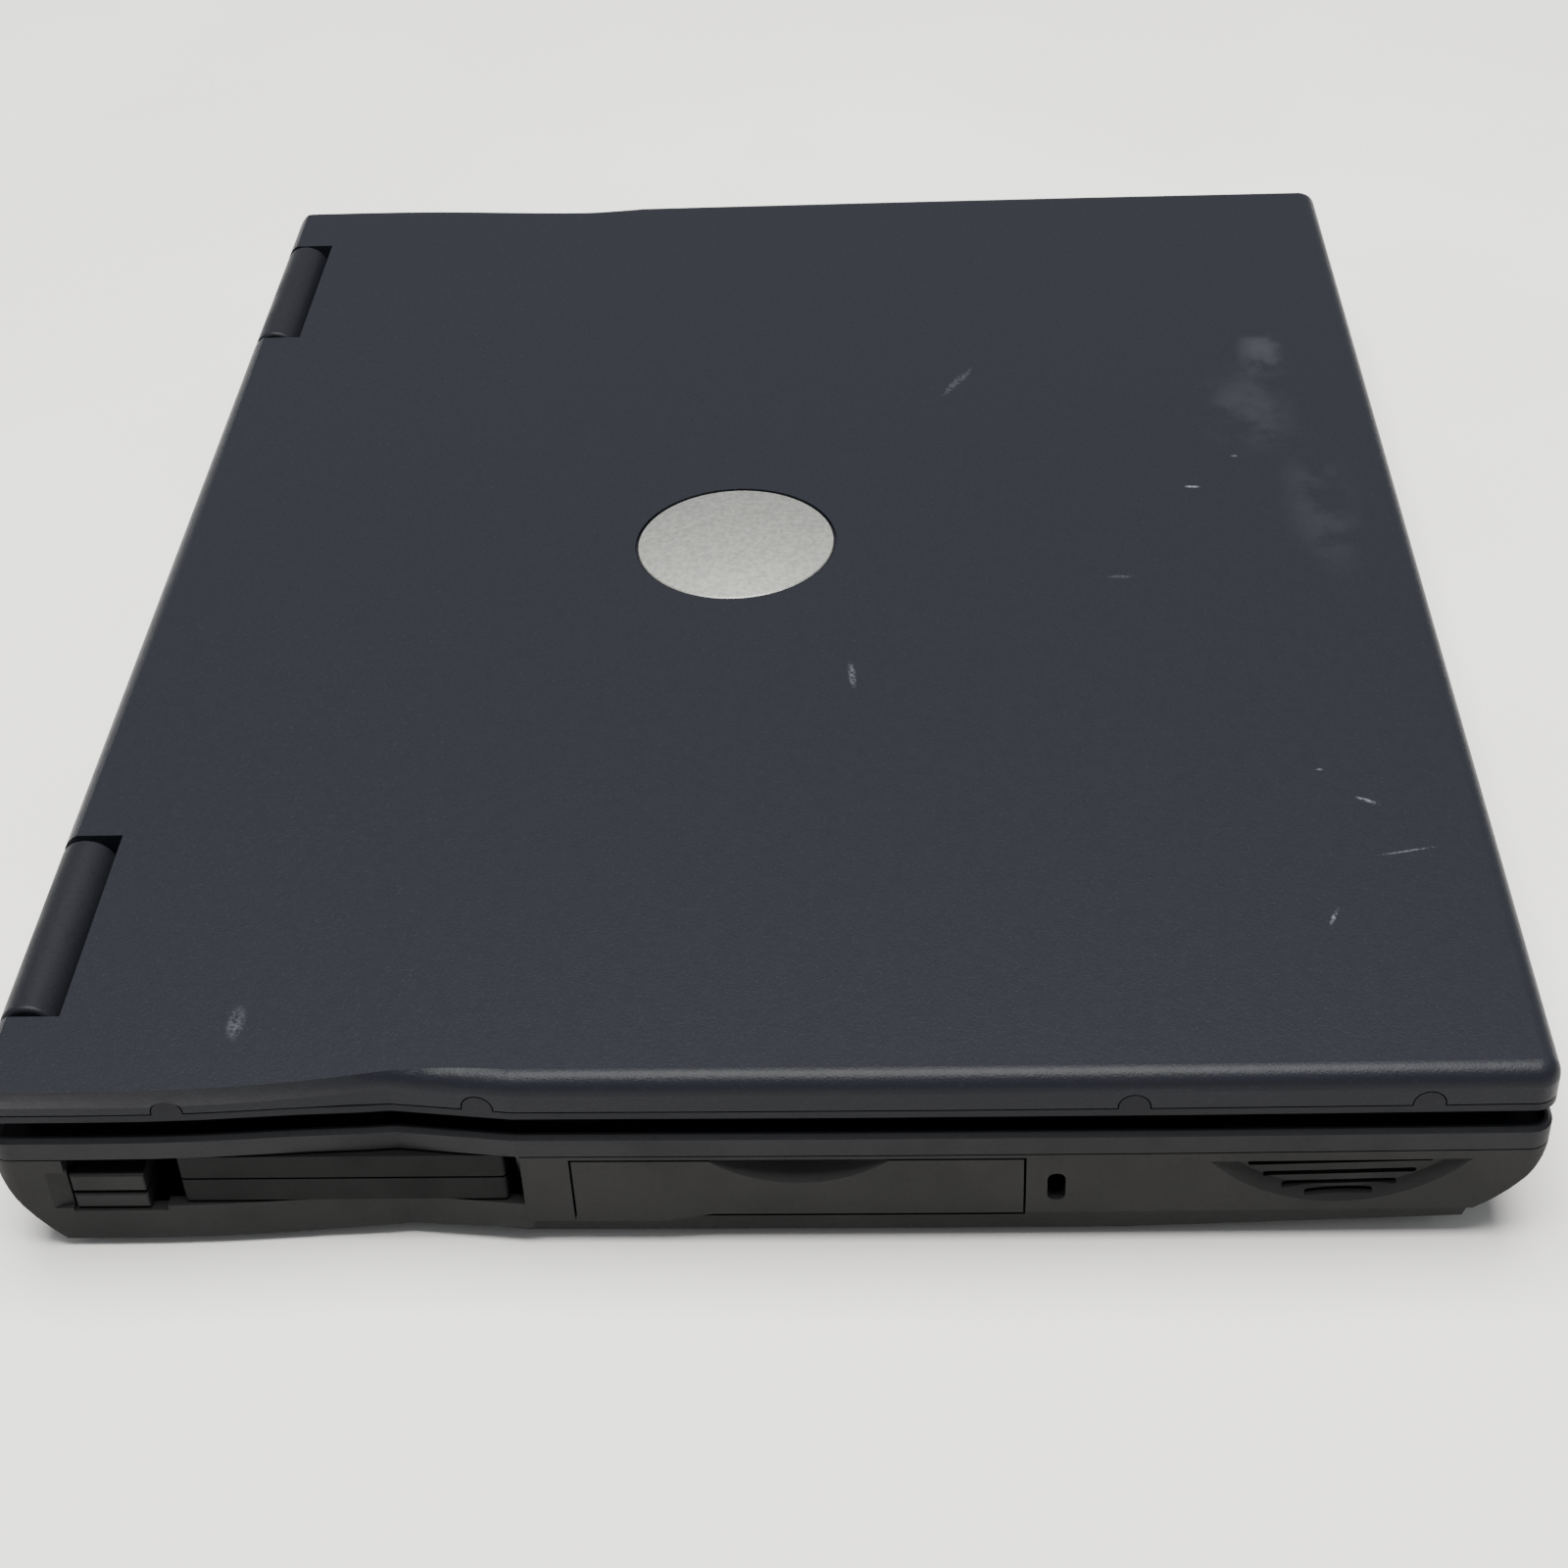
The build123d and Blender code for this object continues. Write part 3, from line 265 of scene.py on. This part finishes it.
def rubber(name, colour):
    finish = Finish(name, colour, 0.8, specular=0.3)
    finish.mottle(160.0, shade(colour, 1.4))
    return finish.grain(1500.0, 0.5, 0.0002)


def paint_everything():
    lid_finish().put_on("lid_cover")
    trim = moulded_plastic("lid_trim", (0.0082, 0.0088, 0.0116), 0.44, 0.1)
    trim.put_on("display_bezel", "hinge_barrels", "lid_latch")
    case = moulded_plastic("case_top", (0.0085, 0.009, 0.011), 0.5, 0.15)
    case.put_on("top_case", "control_strip")
    side = moulded_plastic("case_side", (0.0125, 0.0125, 0.0127), 0.55, 0.14)
    side.put_on("bottom_case", "memory_door", "hard_drive_carrier", "battery_pack")
    blanks = moulded_plastic("card_plastic", (0.0042, 0.0042, 0.0044), 0.6, 0.1)
    blanks.put_on("card_blank_upper", "card_blank_lower")
    black = moulded_plastic("black_plastic", (0.007, 0.007, 0.008), 0.5, 0.3)
    black.put_on(
        "pad_button_left", "pad_button_right", "stick_button_left", "stick_button_right", "power_button",
        "battery_latch", "optical_tray", "optical_eject", "fan_housing", "fan_rotor",
        "speakers", "network_jacks", "power_inlet", "audio_jacks", "round_ports",
    )
    ejectors = moulded_plastic("eject_plastic", (0.011, 0.0112, 0.0115), 0.55, 0.15)
    ejectors.put_on("eject_button_upper", "eject_button_lower")
    keys = moulded_plastic("key_plastic", (0.008, 0.008, 0.009), 0.45, 0.35)
    keys.put_on(
        "function_keys", "number_row_keys", "upper_row_keys", "home_row_keys",
        "shift_row_keys", "modifier_keys", "space_bar",
    )
    moulded_plastic("pad_plastic", (0.02, 0.02, 0.023), 0.42, 0.35).put_on("touchpad")
    rubber("foot_rubber", (0.02, 0.02, 0.02)).put_on("rubber_feet", "lid_bumpers")
    rubber("stick_rubber", (0.02, 0.07, 0.25)).put_on("pointing_stick")
    steel = metal("plated_steel", (0.52, 0.53, 0.54), 0.34)
    steel.put_on("keyboard_plate", "usb_ports", "parallel_port", "serial_port", "hinge_arms", "optical_drive")
    metal("cage_steel", (0.2, 0.2, 0.2), 0.45).put_on("pc_card_cage")
    metal("black_screw", (0.08, 0.08, 0.08), 0.4).put_on("case_screws")
    metal("cast_alloy", (0.55, 0.56, 0.57), 0.42).put_on("heatsink", "hard_drive")
    badge_finish().put_on("badge")
    circuit_finish().put_on("motherboard", "memory_modules", "inverter_board")
    moulded_plastic("chip_plastic", (0.015, 0.015, 0.015), 0.4).put_on("board_chips")
    moulded_plastic("video_blue", (0.03, 0.05, 0.26), 0.4).put_on("video_port")
    lens = Finish("light_lens", (0.12, 0.26, 0.1), 0.2)
    lens.mottle(500.0, (0.08, 0.2, 0.07)).grain(900.0, 0.1).put_on("status_lights")
    screen_finish().put_on("lcd_panel")


# -------------------------------------------------------------- key legends
# Key pitches and letter sizes, in millimetres.
UNIT = 19.0
KEY_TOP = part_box("space_bar")[1].z
KEYS_LEFT = -7.5 * UNIT
KEYS_FRONT = -9.0
ROW_PITCH = 18.3
FUNCTION_PITCH = 11.0
LETTER_SIZE = 4.6
WORD_SIZE = 2.8
PRINT_LIFT = 0.03
LEGENDS = {
    # node: front edge of the row, depth of a key, and each key as (width in units, legend)
    "modifier_keys": (
        0, ROW_PITCH,
        [(1.2, "Ctrl"), (1, "Fn"), (1, "Win"), (1, "Alt"), (5, ""), (1, "Alt"), (1, "Ctrl"), (0.8, "Menu"),
         (1, "<"), (1, "v"), (1, ">")],
    ),
    "shift_row_keys": (
        1, ROW_PITCH,
        [(2.3, "Shift")] + [(1, c) for c in "ZXCVBNM,./"] + [(1.7, "Shift"), (1, "^")],
    ),
    "home_row_keys": (2, ROW_PITCH, [(1.8, "Caps")] + [(1, c) for c in "ASDFGHJKL;'"] + [(2.2, "Enter")]),
    "upper_row_keys": (3, ROW_PITCH, [(1.5, "Tab")] + [(1, c) for c in "QWERTYUIOP[]"] + [(1.5, "\\")]),
    "number_row_keys": (4, ROW_PITCH, [(1, c) for c in "`1234567890-="] + [(2, "Back")]),
    "function_keys": (
        5, FUNCTION_PITCH,
        [(15 / 16, name) for name in ["Esc"] + [f"F{n}" for n in range(1, 13)] + ["Num", "Ins", "Del"]],
    ),
}


def letter_mesh(text, size):
    """Flat mesh of a short text in the built-in font, centred on the origin."""
    curve = bpy.data.curves.new("letters", "FONT")
    curve.body = text
    curve.size = size
    curve.align_x = "CENTER"
    curve.align_y = "CENTER"
    curve.resolution_u = 2
    holder = bpy.data.objects.new("letters", curve)
    mesh = bpy.data.meshes.new_from_object(holder)
    bpy.data.objects.remove(holder)
    bpy.data.curves.remove(curve)
    return mesh


def print_legends(node, row, depth, keys, finish):
    """Print the legends of one row of keys as one thin piece that rides on the row."""
    sheet = bmesh.new()
    x = KEYS_LEFT
    y = KEYS_FRONT + row * ROW_PITCH + depth * 0.55
    for width, text in keys:
        if text:
            size = LETTER_SIZE if len(text) == 1 else WORD_SIZE
            mesh = letter_mesh(text, size * MM)
            middle = Vector(((x + width * UNIT / 2) * MM, y * MM, KEY_TOP + PRINT_LIFT * MM))
            mesh.transform(Matrix.Translation(middle))
            sheet.from_mesh(mesh)
            bpy.data.meshes.remove(mesh)
        x += width * UNIT
    mesh = bpy.data.meshes.new(f"legends_{node}")
    sheet.to_mesh(mesh)
    sheet.free()
    mesh.materials.append(finish.material)
    piece = bpy.data.objects.new(f"legends_{node}", mesh)
    scene.collection.objects.link(piece)
    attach(piece, f"{node}_body")


def print_all_legends():
    finish = Finish("legend_white", (0.55, 0.56, 0.56), 0.5)
    finish.mottle(700.0, (0.48, 0.49, 0.49))
    for node, (row, depth, keys) in LEGENDS.items():
        print_legends(node, row, depth, keys, finish)


# ------------------------------------------------------------ stage, camera
TABLE_HALF = 6.0              # half the side of the table, in metres


def make_floor():
    """Large flat pale table."""
    mesh = bpy.data.meshes.new("table_top")
    corners = [(-TABLE_HALF, -TABLE_HALF, 0), (TABLE_HALF, -TABLE_HALF, 0)]
    corners += [(TABLE_HALF, TABLE_HALF, 0), (-TABLE_HALF, TABLE_HALF, 0)]
    mesh.from_pydata(corners, [], [(0, 1, 2, 3)])
    table = bpy.data.objects.new("table_top", mesh)
    scene.collection.objects.link(table)
    finish = Finish("table_white", (0.72, 0.715, 0.70), 0.6, specular=0.3)
    finish.mottle(6.0, (0.76, 0.755, 0.745))
    finish.grain(120.0, 0.05, 0.0005)
    mesh.materials.append(finish.material)


def area_light(name, place, target, size, power, colour=(1.0, 1.0, 1.0)):
    data = bpy.data.lights.new(name, "AREA")
    data.shape = "RECTANGLE"
    data.size, data.size_y = size
    data.energy = power
    data.color = colour
    light = bpy.data.objects.new(name, data)
    light.location = place
    light.rotation_mode = "QUATERNION"
    light.rotation_quaternion = (Vector(target) - Vector(place)).to_track_quat("-Z", "Y")
    scene.collection.objects.link(light)


def make_light():
    world = bpy.data.worlds.new("soft_room")
    world.use_nodes = True
    background = world.node_tree.nodes["Background"]
    background.inputs["Color"].default_value = (0.95, 0.97, 1.0, 1.0)
    background.inputs["Strength"].default_value = 0.42
    scene.world = world
    area_light("ceiling", (-0.02, 0.0, 1.5), (0, 0, 0), (1.2, 1.2), 86.0, (1.0, 0.985, 0.96))


CAMERA_PLACE = (-0.46465, -0.0260, 0.33788)
CAMERA_YAW = 3.489
CAMERA_PITCH = 38.008
CAMERA_ROLL = -2.984
CAMERA_LENS = 61.08


def make_camera():
    """Look down at the left side of the machine from close by."""
    yaw, pitch, roll = (math.radians(a) for a in (CAMERA_YAW, CAMERA_PITCH, CAMERA_ROLL))
    forward = Vector((math.cos(pitch) * math.cos(yaw), math.cos(pitch) * math.sin(yaw), -math.sin(pitch)))
    level = forward.cross(Vector((0, 0, 1))).normalized()
    upright = level.cross(forward)
    right = level * math.cos(roll) + upright * math.sin(roll)
    up = upright * math.cos(roll) - level * math.sin(roll)
    data = bpy.data.cameras.new("camera")
    data.lens = CAMERA_LENS
    data.sensor_width = 36.0
    data.clip_start = 0.01
    camera = bpy.data.objects.new("camera", data)
    turn = Matrix((right, up, -forward)).transposed()
    camera.matrix_world = Matrix.Translation(CAMERA_PLACE) @ turn.to_4x4()
    scene.collection.objects.link(camera)
    scene.camera = camera


paint_everything()
print_all_legends()
make_floor()
make_light()
make_camera()
